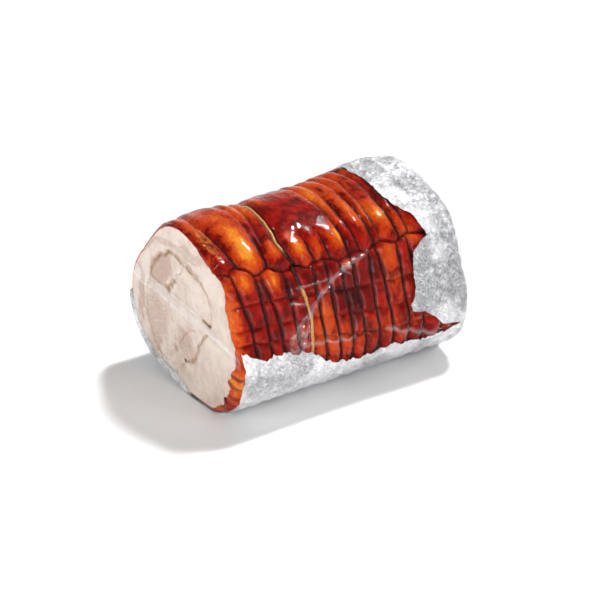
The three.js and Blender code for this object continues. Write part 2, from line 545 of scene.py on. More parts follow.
# How far the rind rolls in over the cut face, and how far back it starts.
ROLL_IN = ((-90, 1), (86, 1), (98, 2), (105, 3.5), (113, 5.5), (125, 6), (133, 3), (140, 1.5),
           (145, 5), (151, 8), (165, 8.5), (177, 8), (188, 11), (197, 16), (205, 18), (215, 14),
           (224, 8), (237, 3), (250, 1), (270, 1))
ROLL_BACK = ((-90, 2), (86, 3), (105, 6), (125, 9), (140, 5), (165, 9), (205, 13), (224, 8),
             (250, 2), (270, 2))
BARE_EDGE = (-86, 8)  # between these angles the cut's edge has no rind
CORNER = 6  # how far the wrapped end's rim is rounded


def rolled_in(along, angle):
    """How much the rind has turned in at a place near the cut face."""
    depth = through(ROLL_IN, angle)
    back = through(ROLL_BACK, angle)
    t = np.clip(1 - along / back, 0, 1)
    return depth * (1 - np.sqrt(1 - t ** 2.3))


def rounded_off(along):
    """How much the wrapped end's rim falls away there."""
    back = np.clip(1 - (LENGTH - along) / CORNER, 0, 1)
    return CORNER * (1 - np.sqrt(1 - back ** 2))


def tucks(along, angle):
    """Small folds in the rind where it turns over the cut's rim."""
    return np.abs(np.sin(np.radians(24 * angle + 14 * along))) ** 3


def barrel_grid():
    """Places all over the barrel, the roast's height there, and its grooves."""
    along, angle = np.meshgrid(BARREL_ROWS, ANGLES, indexing="ij")
    height, dip = roast_height(along, angle)
    spot = on_roll(along, angle, 0)
    ragged = 1 + 0.22 * NOISE_B(spot, 7) + 0.12 * NOISE_C(spot, 3)
    calm = ease(0, 5, along) * ease(0, 6, LENGTH - along)
    edge = ease(9, 0, along) * ease(84, 100, angle) * ease(240, 225, angle)
    height = height * (0.25 + 0.75 * calm) - rolled_in(along, angle) * ragged
    height = height - edge * (1.1 * NOISE_B(spot, 5) + 0.7 * NOISE_C(spot, 2.4))
    height = height - 1.5 * tucks(along, angle) * edge * ease(186, 194, angle)
    return along, angle, height - rounded_off(along), dip


# Lines of herbs on the cut face, as (y, z) from the roll's axis: points,
# width in mm and strength.
HERB_LINES = (
    (((59, 20), (58, 26), (55, 32), (50, 38), (44, 43), (37, 48), (28, 52), (18, 53), (8, 51),
      (0, 49), (-8, 47), (-16, 45), (-24, 43)), 2.6, 0.85),
    (((24, 54), (14, 56), (4, 54), (-4, 52), (-13, 49), (-20, 46)), 2.2, 0.5),
    (((-26, 42), (-32, 37), (-37, 30), (-40, 23), (-41, 15), (-39, 9)), 2.6, 0.42),
    (((-39, 8), (-34, 7), (-27, 8)), 2.2, 0.95),
    (((60, 18), (63, 10), (66, 2), (67, -8), (67, -18), (65, -27), (61, -35), (56, -43), (50, -50),
      (42, -55)), 3.0, 0.45),
    (((31, 8), (29, 1), (26, -7), (22, -15), (20, -24), (19, -33)), 2.2, 0.36),
    (((34, 17), (28, 18), (23, 24), (19, 29)), 3.0, 0.75),
    (((16, 32), (12, 36), (8, 41), (5, 46)), 1.8, 0.5),
    (((60, 19), (46, 18), (33, 16)), 1.6, 0.3),
    (((-14, -6), (-8, -9), (0, -14), (6, -20), (10, -26)), 1.7, 0.45),
    (((-33, -3), (-27, -8), (-23, -14), (-19, -18), (-17, -24), (-14, -31), (-9, -38), (-4, -40),
      (3, -43)), 2.2, 0.65),
    (((3, -43), (7, -49), (13, -55), (18, -60)), 3.4, 0.45),
    (((20, -36), (24, -41), (30, -48), (42, -55)), 3.0, 0.35),
    (((17, -38), (9, -41), (3, -43)), 2.6, 0.35),
)
# Clumps of herbs and browned spots: (y, z), radius and strength.
HERB_SPOTS = (
    ((30, 17), 4.0, 0.85), ((20, -37), 4.2, 0.7), ((3, -43), 2.2, 1.3), ((-27, -8), 2.6, 0.75),
    ((25, -54), 1.8, 0.6), ((31, -53), 1.6, 0.5), ((37, -55), 1.8, 0.5), ((43, -56), 1.6, 0.5),
    ((17, -60), 2.4, 0.5), ((-57, -48), 1.6, 0.3), ((-48, 26), 2.4, 0.25), ((-48, 7), 2.0, 0.2),
    ((15, -48), 8.0, 0.3), ((-14, 45), 4.0, 0.45), ((-24, 42), 3.0, 0.5), ((20, 52), 3.0, 0.4),
)
# Pinker muscles: (y, z), half sizes, lean in degrees, strength.
MUSCLES = (
    ((42, 31), 22, 13, -33, 1.0), ((49, -16), 20, 32, 10, 0.45), ((0, -28), 19, 12, 42, 0.55),
    ((76, -6), 6, 30, 3, 0.75), ((-28, -60), 40, 10, 12, 0.15), ((10, 62), 56, 5, -3, 0.4),
    ((24, -56), 26, 8, -12, 0.2), ((74, 40), 5, 30, 52, 0.5), ((56, -50), 20, 5, -42, 0.9),
)
USUAL_PINK = 0.28
# Pale fat, and painted light: (y, z), half sizes, lean in degrees, strength. The first, broad and low on the
# face, is painted light that lifts the lower face out of its shade.
PALE_FAT_AND_PAINTED_LIGHT = (
    ((8, -52), 44, 22, 0, 0.45), ((-52, 20), 10, 42, -8, 0.6), ((-30, -30), 24, 26, 20, 0.4),
    ((52, 4), 26, 7, 0, 0.3), ((70, 20), 8, 22, 20, 0.5),
)


def line_distance(y, z, points):
    """How far each place is from a line through the points."""
    nearest = np.full_like(y, np.inf)
    for (y0, z0), (y1, z1) in zip(points, points[1:]):
        dy, dz = y1 - y0, z1 - z0
        t = np.clip(((y - y0) * dy + (z - z0) * dz) / (dy * dy + dz * dz), 0, 1)
        nearest = np.minimum(nearest, np.hypot(y - y0 - t * dy, z - z0 - t * dz))
    return nearest


def patches(y, z, ovals):
    """How far each place lies inside any of these leaning ovals, 0 to 1."""
    inside = np.zeros_like(y)
    for (at_y, at_z), wide, tall, lean, strength in ovals:
        turn = math.radians(lean)
        across = ((y - at_y) * math.cos(turn) + (z - at_z) * math.sin(turn)) / wide
        up = ((z - at_z) * math.cos(turn) - (y - at_y) * math.sin(turn)) / tall
        inside = np.maximum(inside, strength * ease(1.25, 0.7, np.hypot(across, up)))
    return inside


def face_values(y, z):
    """Herbs, pinkness and hollows of the cut face at (y, z) from the axis."""
    spot = on_cut(y, z)
    y = y + 1.3 * NOISE_A(spot, 7) + 0.6 * NOISE_B(spot, 3)
    z = z + 1.3 * NOISE_B(spot, 7) + 0.6 * NOISE_C(spot, 3)
    patchy = np.clip(0.9 + 0.35 * NOISE_C(spot, 4) + 0.3 * NOISE_A(spot, 1.6), 0.3, 1.3)
    herb = np.zeros_like(y)
    crease = np.zeros_like(y)
    for points, width, strength in HERB_LINES:
        away = line_distance(y, z, points)
        herb = np.maximum(herb, strength * patchy * np.exp(-((away / width) ** 2)))
        crease = np.maximum(crease, strength * np.exp(-((away / (0.9 * width)) ** 2)))
    for (at_y, at_z), radius, strength in HERB_SPOTS:
        away = np.hypot(y - at_y, z - at_z)
        herb = np.maximum(herb, strength * np.exp(-((away / radius) ** 2)))
    y = y + 3 * NOISE_C(spot, 11)
    z = z + 3 * NOISE_A(spot, 11)
    # the pale patches lower the pinkness; the broad low one is painted light on the lower face
    pink = patches(y, z, MUSCLES) + USUAL_PINK - 0.5 * patches(y, z, PALE_FAT_AND_PAINTED_LIGHT)
    return np.clip(herb, 0, 1), np.clip(pink, 0, 1), np.clip(crease, 0, 1)


def cut_face(rim):
    """The cut face inside its rim, and the values that go with it."""
    share = inner_shares(FACE_RINGS)
    face = fan(axis_point(0), rim, share)
    y, z = face[..., 1] - AXIS_Y, face[..., 2] - AXIS_HEIGHT
    herb, pink, crease = face_values(y, z)
    spot = on_cut(y, z)
    inward = 0.8 * crease + 0.3 * (1 + NOISE_A(spot, 14)) + 0.12 * (1 + NOISE_C(spot, 2.5))
    face[..., 0] += inward * ease(1, 0.93, share[..., 0])
    return face, herb, pink, ease(0.965, 1, share[..., 0])


def make_roast(rind, meat):
    along, angle, height, dip = barrel_grid()
    barrel = on_roll(along, angle, height, WRAPS + rounded_off(along))
    face, herb, pink, near_rim = cut_face(barrel[0])
    back = fan(axis_point(LENGTH), barrel[-1], np.linspace(1, 0, BACK_RINGS)[1:, None, None])
    points = np.concatenate([face, barrel, back])

    def whole(*fields):
        parts = (field * np.ones(part.shape[:2]) for field, part in zip(fields, (face, barrel, back)))
        return np.concatenate(list(parts))

    rolled = through(((0, 1), (2, 0.6), (9, 0)), along) * ease(85, 110, angle) * ease(230, 200, angle)
    values = {
        # groove depth, which the rind's finish turns into painted shade
        "dip": whole(0, dip, 0),
        "tone": whole(0, rind_tone(along, angle) + 0.25 * rolled, 0.2),
        "scorch": whole(0, rind_scorch(along, angle), 0.2),
        "crumbs": whole(0, np.clip(marks(along, angle, CRUMBLY), 0, 1), 0),
        "herb": whole(herb, 0, 0),
        "pink": whole(pink, 0, 0.5),
        "rim": whole(near_rim, 1, 0),
    }
    finishes = np.zeros(points.shape[:2], int)  # 0 is rind and 1 is meat
    finishes[:len(face) - 1] = 1
    finishes[len(face) + len(barrel) - 1:] = 1
    bare_edge = (ANGLES > BARE_EDGE[0]) & (ANGLES < BARE_EDGE[1])
    finishes[len(face) - 1:len(face) + 5, bare_edge] = 1
    return make_mesh("baked_roll", points, True, values, (rind, meat), finishes)


# Orange where the crown of a bulge browned less: (along, angle), half sizes,
# strength.
ORANGE = (
    ((33, 112), 11, 20, 1.05), ((31, 124), 8, 9, 0.5), ((58, 125), 6, 8, 0.8), ((81, 129), 7, 9, 0.95),
    ((98, 132), 5, 8, 0.5), ((118, 129), 7, 9, 0.8), ((123, 127), 3, 7, 0.9),
    ((148, 110), 6, 12, 0.8), ((163, 112), 5, 12, 0.6),
    ((172, 122), 8, 11, 0.5), ((190, 135), 8, 8, 0.5), ((18, 139), 7, 7, 0.95), ((46, 143), 6, 8, 0.9),
    ((193, 143), 9, 5, 0.4), ((122, 147), 5, 4, 0.6), ((163, 148), 9, 9, 0.5), ((160, 190), 46, 11, 0.3),
    ((95, 190), 32, 11, 0.35), ((2, 160), 6, 22, 0.62), ((3, 202), 8, 12, 0.7), ((66, 85), 6, 14, 0.5),
    ((82, 78), 7, 12, 0.5), ((175, 120), 12, 14, 0.45), ((152, 124), 8, 10, 0.5),
    ((132, 108), 6, 14, 0.5), ((9, 92), 6, 22, 0.5), ((150, 80), 42, 17, 0.6),
    ((28, 80), 26, 16, 0.5), ((57, 84), 9, 16, 0.5), ((130, 90), 8, 14, 0.45), ((92, 170), 9, 9, 0.45),
    ((170, 165), 16, 16, 0.38), ((60, 178), 30, 8, 0.2), ((86, 178), 12, 14, 0.3),
)
# Deep red and nearly black places.
SCORCHED = (
    ((95, 98), 20, 16, 0.12), ((122, 166), 6, 16, 0.8), ((105, 160), 9, 4, 0.5), ((63, 152), 7, 8, 0.45),
    ((34, 150), 4, 10, 0.5), ((24, 157), 9, 5, 0.2), ((150, 157), 8, 14, 0.4),
    ((137, 160), 8, 14, 0.4), ((110, 165), 9, 12, 0.35),
    ((143, 88), 3, 5, 0.7), ((9, 110), 5, 12, 0.35), ((185, 108), 5, 14, 0.5), ((80, 160), 12, 10, 0.25),
)


def rind_tone(along, angle):
    spot = on_roll(along, angle, 0)
    tone = marks(along, angle, ORANGE)
    elsewhere = ease(75, 40, angle) + ease(205, 225, angle)
    rest = 0.42 + 0.5 * NOISE_B(spot, 24) + 0.25 * NOISE_C(spot, 10)
    return np.clip(tone + elsewhere * rest + 0.12 * NOISE_A(spot, 8), 0, 1.2)


def rind_scorch(along, angle):
    spot = on_roll(along, angle, 0)
    near_cut = ease(13, 8, along) * ease(188, 194, angle) * ease(236, 226, angle)
    # darker along the small folds of rind by the cut, the same folds that are cut in as relief
    dark = marks(along, angle, SCORCHED) + 0.6 * tucks(along, angle) * near_cut
    return np.clip(dark + 0.15 * NOISE_B(spot, 13) + 0.1 * NOISE_C(spot, 6), 0, 1)


# Where crumbs of the filling and charred skin stick to the rind.
CRUMBLY = (
    ((8, 106), 8, 30, 1.0), ((177, 97), 13, 16, 0.7), ((162, 82), 8, 6, 0.6), ((122, 118), 7, 16, 0.6),
    ((62, 90), 6, 14, 0.4), ((215, 60), 30, 30, 0.5), ((120, -20), 60, 14, 0.4),
)


def rind_finish():
    """Baked rind: orange to deep red, with painted shade that makes the grooves nearly black, and greasy."""
    finish = Finish("baked_rind")
    dip, tone, scorch, crumbs = (finish.value(name) for name in ("dip", "tone", "scorch", "crumbs"))
    mottle = finish.noise(90, 5, 0.6)
    grain = finish.noise(520, 4, 0.6)
    streak = finish.noise(260, 4, 0.6, stretch=(2.2, 1, 1))
    red = finish.two_tone(mottle, srgb(100, 9, 8), srgb(160, 28, 14))
    warm = tone + (mottle - 0.5) * 0.6 + (streak - 0.5) * 0.9 + (grain - 0.5) * 0.4
    colour = finish.blend(warm.within(0.12, 0.62), red, srgb(188, 72, 22))
    colour = finish.blend(warm.within(0.62, 1.2), colour, srgb(220, 142, 46))
    colour = finish.blend((scorch + (grain - 0.5) * 0.3).within(0.12, 0.95), colour, srgb(62, 8, 12))
    # painted shade: the grooves are darkened towards near-black by how deep they are
    crease = (dip + (grain - 0.5) * 0.35).within(0.3, 1.0)
    colour = finish.blend(crease, colour, srgb(56, 13, 9))
    bits = finish.noise(230, 5, 0.7, stretch=(2.4, 1, 1), distortion=0.6)
    colour = finish.blend((crumbs * bits).within(0.36, 0.52) * 0.8, colour, srgb(204, 118, 50))
    colour = finish.blend((crumbs * (1 - bits)).within(0.4, 0.56) * 0.8, colour, srgb(60, 14, 8))
    flecks = finish.cells(330).within(0.16, 0.05) * finish.noise(60, 2).within(0.52, 0.64)
    colour = finish.blend(flecks * 0.8, colour, srgb(46, 14, 10))
    roughness = 0.26 + crease * 0.25 + (grain - 0.5) * 0.2
    height = mottle * 0.4 + streak * 0.35 + grain * 0.25 + crumbs * bits * 1.6
    return finish.done(finish.principled(
        base_color=colour, roughness=roughness, coat_weight=0.08, coat_roughness=0.06,
        specular_ior_level=0.04, normal=finish.bump(height, 0.9, 0.75)))


def meat_finish():
    """Cooked pork, cut across: pale fat and pinker muscle with browned herbs; the lower face is painted
    paler as painted light.
    """
    finish = Finish("cut_meat")
    herb, pink, rim = (finish.value(name) for name in ("herb", "pink", "rim"))
    cloud = finish.noise(60, 6, 0.65)
    grain = finish.noise(480, 5, 0.65)
    fibre = finish.noise(190, 6, 0.65, stretch=(1, 1.0, 3.2), distortion=0.8)
    pale = finish.blend(cloud.within(0.35, 0.68), srgb(215, 201, 191), srgb(200, 183, 171))
    flesh = finish.two_tone(fibre, srgb(190, 163, 149), srgb(162, 132, 118))
    amount = pink + (cloud - 0.5) * 0.6 + (fibre - 0.5) * 0.7
    colour = finish.blend(amount.within(0.1, 0.95) * 0.9, pale, flesh)
    colour = finish.blend(fibre.within(0.54, 0.68) * 0.35, colour, srgb(222, 211, 202))
    speckle = (herb + (grain - 0.5) * 0.9 * herb.within(0.02, 0.3)).clamped()
    colour = finish.blend(speckle.within(0.05, 0.85) * 0.9, colour, srgb(146, 110, 72))
    colour = finish.blend(speckle.within(0.78, 1.0), colour, srgb(96, 62, 40))
    colour = finish.blend(rim.within(0.35, 1.0) * 0.8, colour, srgb(206, 150, 120))
    roughness = 0.42 + (grain - 0.5) * 0.3
    height = fibre * 0.5 + grain * 0.4 - herb * 0.6
    return finish.done(finish.principled(
        base_color=colour, roughness=roughness, coat_weight=0.15, coat_roughness=0.2,
        specular_ior_level=0.3, normal=finish.bump(height, 0.8, 0.7)))


# ---------------------------------------------------------------------------
# The net
# ---------------------------------------------------------------------------

CORD = 1.7  # across a hoop's cord
THIN_CORD = 1.2  # across a string's cord
TWIST = 3.4  # mm of cord for one turn of its strands
CORD_SIDES = 10
HOOP_STEP = 0.55  # degrees from one ring of a hoop's cord to the next
STRING_STEP = 0.9  # mm from one ring of a string's cord to the next
GOLDEN_HOOP = 4  # the hoop that stands proud of its groove, counted from 0

# Where the cord isn't soaked dark: (along, angle), half sizes.
GOLDEN = (
    ((72, 90), 6, 22, 1.6), ((69, 112), 6, 14, 1.4), ((75, 160), 5, 9, 1.3), ((76, 176), 5, 9, 1.3),
    ((72, 194), 5, 7, 1.2), ((211, 197), 4, 7, 1.2), ((11, 104), 7, 22, 0.8), ((100, 20), 60, 22, 0.6),
    ((180, 30), 40, 20, 0.5),
)


def cord_surface(centre, out, thick):
    """Rings of a twisted two-strand cord about a line of points."""
    run = np.gradient(centre, axis=0)
    run /= np.linalg.norm(run, axis=1, keepdims=True)
    side = np.cross(run, out)
    side /= np.linalg.norm(side, axis=1, keepdims=True)
    up = np.cross(side, run)
    step = np.linalg.norm(np.diff(centre, axis=0, prepend=centre[:1]), axis=1)
    travelled = np.cumsum(step)
    around = np.linspace(0, 2 * math.pi, CORD_SIDES, endpoint=False)
    lay = around[None, :] - 2 * math.pi * travelled[:, None] / TWIST / 2
    radius = thick[:, None] / 2 * (0.8 + 0.28 * np.abs(np.cos(lay)))
    ring = np.cos(around)[None, :, None] * side[:, None] + np.sin(around)[None, :, None] * up[:, None]
    return centre[:, None] + radius[..., None] * ring


def make_cord(number, material, along, angle, raised, thick):
    """One stretch of cord, lying in its groove or raised from it."""
    height, _ = roast_height(along, angle)
    spot = on_roll(along, angle, 0)
    level = height + raised + 0.15 * NOISE_B(spot, 5)
    centre = on_roll(along, angle, level, WRAPS + CORD / 2)
    out = on_roll(along, angle, 10) - spot
    rings = cord_surface(centre, out, thick + 0 * along)
    golden = np.repeat(marks(along, angle, GOLDEN)[:, None], CORD_SIDES, 1)
    return make_mesh(f"cord_{number}", rings, True, {"golden": golden}, (material,))


def proudness(angle):
    """1 where the golden hoop stands proud, and 0 where it sinks in."""
    return ease(70, 80, angle) * ease(205, 200, angle)


def twine_ridge(along, angle):
    """How far the film is lifted by the hoop that stands proud."""
    hoop = HOOPS[GOLDEN_HOOP]
    away = np.abs(along - hoop_along(hoop, angle, is_above_seam(along, angle)))
    return 3.0 * proudness(angle) * ease(3.2, 1.4, away)


def make_net(material):
    cords = []
    turn = np.arange(-90, 270.1, HOOP_STEP)
    for number, hoop in enumerate(HOOPS):
        for above in (True, False):
            start = through(SEAM, hoop_route(hoop, np.array(138.0), above))
            angle = turn[turn <= start + 1] if above else turn[turn >= start - 1]
            along = hoop_route(hoop, angle, above)
            buried = 2.6 * ease(2.6, 1.0, hoop_bite(hoop, angle, above))
            on_crest = ease(94, 84, angle) * ease(30, 50, angle)
            buried = np.maximum(buried, 1.6 * (number != GOLDEN_HOOP) * on_crest)
            proud = 1.9 * (number == GOLDEN_HOOP) * proudness(angle)
            raised = proud - 0.4 - buried
            cords.append(make_cord(len(cords), material, along, angle, raised, CORD + 0.8 * proud))
    along = np.arange(HOOPS[0][0], HOOPS[-1][0], STRING_STEP)
    for string in STRINGS:
        angle = string_angle(string, along)
        cords.append(make_cord(len(cords), material, along, angle, -0.5, THIN_CORD))
    return joined(cords, "elastic_net")


def cord_finish():
    """Elastic twine: golden thread, soaked dark brown in most grooves."""
    finish = Finish("net_twine")
    golden = finish.value("golden")
    grain = finish.noise(900, 3, 0.7)
    soak = (golden + (finish.noise(120, 3) - 0.5) * 0.6).within(0.15, 0.6)
    thread = finish.two_tone(grain, srgb(176, 118, 58), srgb(228, 184, 120))
    stain = finish.two_tone(grain, srgb(38, 10, 7), srgb(72, 24, 14))
    return finish.done(finish.principled(
        base_color=finish.blend(soak, stain, thread), roughness=0.5, coat_weight=0.1,
        coat_roughness=0.2, specular_ior_level=0.2, normal=finish.bump(grain, 0.3, 0.6)))


# ---------------------------------------------------------------------------
# The foil
# ---------------------------------------------------------------------------

# The tongue's near edge under the roll, as (along, angle).
TONGUE_EDGE = ((-4, 176), (0, 178), (10, 182), (22, 186), (33, 185), (45, 185.5), (60, 188), (70, 190),
               (80, 195), (90, 198), (100, 201), (115, 202.5), (130, 202.5), (140, 200.5), (155, 200.5),
               (165, 203), (190, 204.5), (210, 205), (225, 203.5), (240, 200))
TONGUE_FAR = 356.0  # the angle of its far edge
# Where the tongue starts near the cut face, as (angle, along).
TONGUE_FRONT = ((176, 1), (190, 3), (224, 4), (238, 1), (252, -2), (268, -6), (290, -8), (320, -8),
                (345, -6), (356, -3))
# The cup's torn edge round the wrapped end, as (angle, along).
CUP_EDGE = ((-90, 200), (-60, 206), (-30, 192), (0, 188), (30, 193), (60, 189), (68, 190), (80, 183),
            (85, 187), (95, 188), (110, 189), (120, 192), (129, 200), (135, 203), (144, 208.5), (146, 200),
            (150, 192), (155, 187), (165, 185), (172, 185), (178, 182), (182, 178.5), (185, 178), (187, 192),
            (191, 200), (197, 210), (199, 222), (201, 236), (215, 226), (240, 215), (270, 200))


def crumple(points, seed, size):
    """Sharp flat-sided creases, as in foil that was crushed and smoothed."""
    random = np.random.default_rng(seed)
    bent = points + 2.2 * np.stack([noise(points, 11) for noise in (NOISE_A, NOISE_B, NOISE_C)], -1)
    total = 0
    for _ in range(9):
        direction = random.normal(size=3)
        direction /= np.linalg.norm(direction)
        wave = size * random.uniform(0.7, 2.2)
        phase = random.uniform(0, 1)
        t = bent @ direction / wave + phase
        total = total + np.abs(t - np.round(t)) * random.uniform(0.5, 1.0) * (wave / size) ** 0.7
    return total - total.mean()


def read_grid(field, along, angle):
    """A height off the barrel's grid, at any place."""
    row = np.interp(along, BARREL_ROWS, np.arange(len(BARREL_ROWS)))
    column = ((np.asarray(angle) + 90) % 360) / 360 * COLUMNS
    r0 = np.clip(np.floor(row).astype(int), 0, len(BARREL_ROWS) - 2)
    c0 = np.floor(column).astype(int) % COLUMNS
    c1 = (c0 + 1) % COLUMNS
    t, s = row - r0, column - np.floor(column)
    top = field[r0, c0] * (1 - s) + field[r0, c1] * s
    low = field[r0 + 1, c0] * (1 - s) + field[r0 + 1, c1] * s
    return top * (1 - t) + low * t


FOIL_FRONT = -1.4  # past this the foil turns in over the cut
TONGUE_ROW = 0.85  # mm from one row of the tongue's grid to the next
TONGUE_COLUMNS = 360
CUP_ROWS = 84
CUP_COLUMNS = 680
END_RINGS = 70


def foil_points(along, angle, gap, over):
    """The foil's surface: it bridges the grooves and is finely crushed."""
    plain = on_roll(along, angle, 0)
    height = read_grid(over, along, angle) + gap
    rear = ease(178, 215, along)
    crush = (0.3 + 0.45 * rear) * crumple(plain, 5, 5.0) + 0.35 * crumple(plain, 9, 1.9)
    crush = np.clip(crush + rear * NOISE_B(plain, 12), -0.7, 1.1)
    turned_in = np.maximum(FOIL_FRONT - along, 0)
    front = np.maximum(along, FOIL_FRONT) + np.minimum(0.3 * turned_in, 1.5)
    return on_roll(front, angle, height + crush - turned_in, WRAPS - 0.9)


def foil_tongue(material, over):
    """The torn sheet that lies under the roll."""
    rows = np.arange(-9, LENGTH - 3, TONGUE_ROW)
    along, share = np.meshgrid(rows, np.linspace(0, 1, TONGUE_COLUMNS), indexing="ij")
    spot = np.stack([along, 0 * along, 0 * along], -1)
    near = through(TONGUE_EDGE, along) + 0.9 * NOISE_C(spot, 2.6) + 0.7 * NOISE_B(spot, 6)
    far = TONGUE_FAR + 2.5 * NOISE_A(spot, 9)
    angle = near + (far - near) * share
    along = np.maximum(along, through(TONGUE_FRONT, angle) + 1.3 * NOISE_B(on_roll(0, angle, 0), 6))
    # the tongue gets the least greying: painted shade and roughness in the foil's finish
    worn = {"worn": 0.3 + 0 * along}
    points = foil_points(along, angle, 0.5, over)
    return make_mesh("tongue", points, values=worn, materials=(material,))


def foil_end(rim, turns):
    """Foil gathered in folds over the wrapped end, from its rim inward."""
    middle = axis_point(LENGTH, 1.9)
    inward = np.linspace(1, 0, END_RINGS)[:, None, None]
    end = fan(middle, rim, inward)
    end[..., 0] = rim[..., 0] + (middle[0] - rim[..., 0]) * ease(1, 0.94, inward[..., 0])
    spot = on_circle(26, turns)
    gather = 2.6 * (0.5 - np.abs(NOISE_A(spot, 4.5)) - 0.5 * np.abs(NOISE_B(spot, 2.2)))
    folds = gather[None, :] + 0.7 * crumple(end, 21, 7) + 0.35 * crumple(end, 22, 2.4)
    inside = ease(1, 0.9, inward[..., 0]) * ease(0.02, 0.3, inward[..., 0])
    end[..., 0] += np.clip(1.5 * folds, -1.2, 2.6) * inside
    return end[1:]


def foil_cup(material, over):
    """The foil over the wrapped end, torn along its edge on the roll."""
    turns = np.linspace(-90, 270, CUP_COLUMNS, endpoint=False)
    share, angle = np.meshgrid(np.linspace(0, 1, CUP_ROWS), turns, indexing="ij")
    spot = on_roll(100, angle, 0)
    edge = through(CUP_EDGE, angle) + 1.0 * NOISE_C(spot, 2.4) + 0.9 * NOISE_B(spot, 6)
    last = LENGTH - 2 + 2.4 * ease(-0.8, -0.95, np.sin(np.radians(angle)))
    along = edge + (last - edge) * share
    side = foil_points(along, angle, 0.7, over)
    end = foil_end(side[-1], turns)
    # A grey patch on the cup's side, and the greying of the whole cup: how much painted shade greys the
    # foil, and how rough it is
    grey_patch = np.maximum(blob(along, angle, (203, 163), 15, 15), blob(along, angle, (232, 165), 8, 22))
    worn = {"worn": np.concatenate([0.4 + 0.6 * grey_patch, 0.6 + 0 * end[..., 0]])}
    return make_mesh("cup", np.concatenate([side, end]), True, worn, (material,))


def make_foil(material, over):
    return joined([foil_cup(material, over), foil_tongue(material, over)], "torn_foil")


def foil_finish():
    """Bright crinkled aluminium, painted greyer in places and darkened in its creases and crinkle lines as
    painted shade.
    """
    finish = Finish("kitchen_foil")
    creases = finish.noise(430, 6, 0.75, distortion=1.5)
    worn = finish.value("worn")
    dull = finish.noise(34, 4, 0.6) + (worn - 0.35) * 0.4
    lines = finish.noise(200, 5, 0.7, distortion=0.8) - 0.5
    lines = lines.math("ABSOLUTE", lines).within(0.03, 0.0)
    # painted shade: where the broad noise and the greying value are high the foil is painted grey instead of
    # bright
    matt = dull.within(0.4, 0.62)
    colour = finish.blend(matt, srgb(248, 248, 249), srgb(212, 212, 214))
    # painted shade darkens the creases and the crinkle lines, the same noises that make the foil's bump,
    # most where it is painted grey
    colour = finish.blend(creases.within(0.54, 0.42) * (0.14 + matt * 0.44), colour, srgb(96, 97, 102))
    colour = finish.blend(lines * 0.3, colour, srgb(110, 111, 116))
    height = finish.facets(150) * 0.6 + finish.facets(480) * 0.75 + creases * 0.0006 - lines * 0.0003
    normal = finish.bump(height, 1 / MM, 0.9)
    return finish.done(finish.principled(
        base_color=colour, metallic=0.72, roughness=0.44 + (dull - 0.5) * 0.4, normal=normal))


# ---------------------------------------------------------------------------
# The film bag
# ---------------------------------------------------------------------------

# Pleats in the film: a route of (along, angle), how high it stands, its width.
PLEATS = (
    (((145, 143), (128, 146), (115, 148), (105, 151.5), (95, 156), (85, 162), (75, 167), (62, 174),
      (50, 181)), 2.2, 1.3),
    (((77, 167), (68, 175), (60, 188)), 1.6, 1.0),
    (((65, 151.5), (85, 152), (105, 151.5)), 0.9, 0.8),
    (((59, 160), (66, 161), (74, 163)), 1.0, 0.8),
    (((48, 185), (70, 185), (100, 188), (115, 189)), 1.0, 0.9),
    (((-2, 196), (20, 190), (48, 185)), 0.9, 1.0),
    (((150, 190), (180, 197), (215, 206), (236, 208)), 1.6, 1.4),
    (((160, 202), (200, 209), (238, 212)), 1.4, 1.2),
    (((214, 108), (226, 110)), 1.4, 1.0), (((205, 60), (236, 40)), 1.6, 1.3),
    (((10, 40), (60, 30), (120, 12)), 1.2, 1.1), (((90, 62), (150, 45), (200, 48)), 1.0, 1.0),
    (((0, -25), (70, -14), (150, -20), (236, -10)), 1.8, 1.5),
)
# Pleats on the cut face: (y, z) points, how high they stand, width, cloudiness.
FACE_PLEATS = (
    (((94, 17), (70, 14), (45, 12), (25, 10), (0, 7), (-35, 4), (-60, -1), (-84, -6)), 0.8, 4.6, 0.5),
    (((90, 22), (60, 18), (30, 16), (0, 14), (-20, 12)), 0.5, 0.9, 0.9),
    (((90, 12), (70, 8), (45, 9), (25, 6), (0, 3), (-35, 1), (-60, 2), (-80, -4)), 0.5, 1.0, 0.95),
    (((93, 19), (84, 15), (70, 13)), 1.0, 2.4, 0.6),
    (((-26, 48), (-28, 40), (-29, 28)), 0.9, 0.9, 0.6),
    (((16, 32), (12, 37), (6, 45)), 0.8, 0.9, 0.5),
    (((-50, -30), (-66, -60)), 0.6, 0.9, 0.2), (((60, 50), (40, 66)), 0.5, 0.8, 0.2),
    (((-46, 40), (-52, 26), (-58, 20)), 0.6, 0.8, 0.4), (((78, -20), (60, -52)), 0.6, 1.2, 0.3),
)
TAIL_HALF = 58.0  # half the width of the flat seal
TAIL_LENGTH = 8.2
SQUEEZE_RINGS = 25  # rings from the wrapped end's rim to the seal
TAIL_RINGS = 11
FACE_FILM = 1.5  # how far the film's middle stands off the cut face
FACE_FILM_RINGS = 90
FLAT = 0.985  # how much of its height the film loses on its way to the seal


def pleat_height(along, angle):
    rise = np.zeros_like(along)
    mask = np.zeros_like(along)
    for route, height, width in PLEATS:
        points = tuple((u, ARC * a) for u, a in route)
        away = line_distance(along, ARC * angle, points)
        rise = np.maximum(rise, height * np.exp(-((away / width) ** 2)))
        mask = np.maximum(mask, np.exp(-((away / (1.3 * width)) ** 2)))
    return rise, mask


def web(along, angle):
    """The cloudy double film between the two legs of the front pleat."""
    return blob(along, angle, (57, 181), 7, 6)


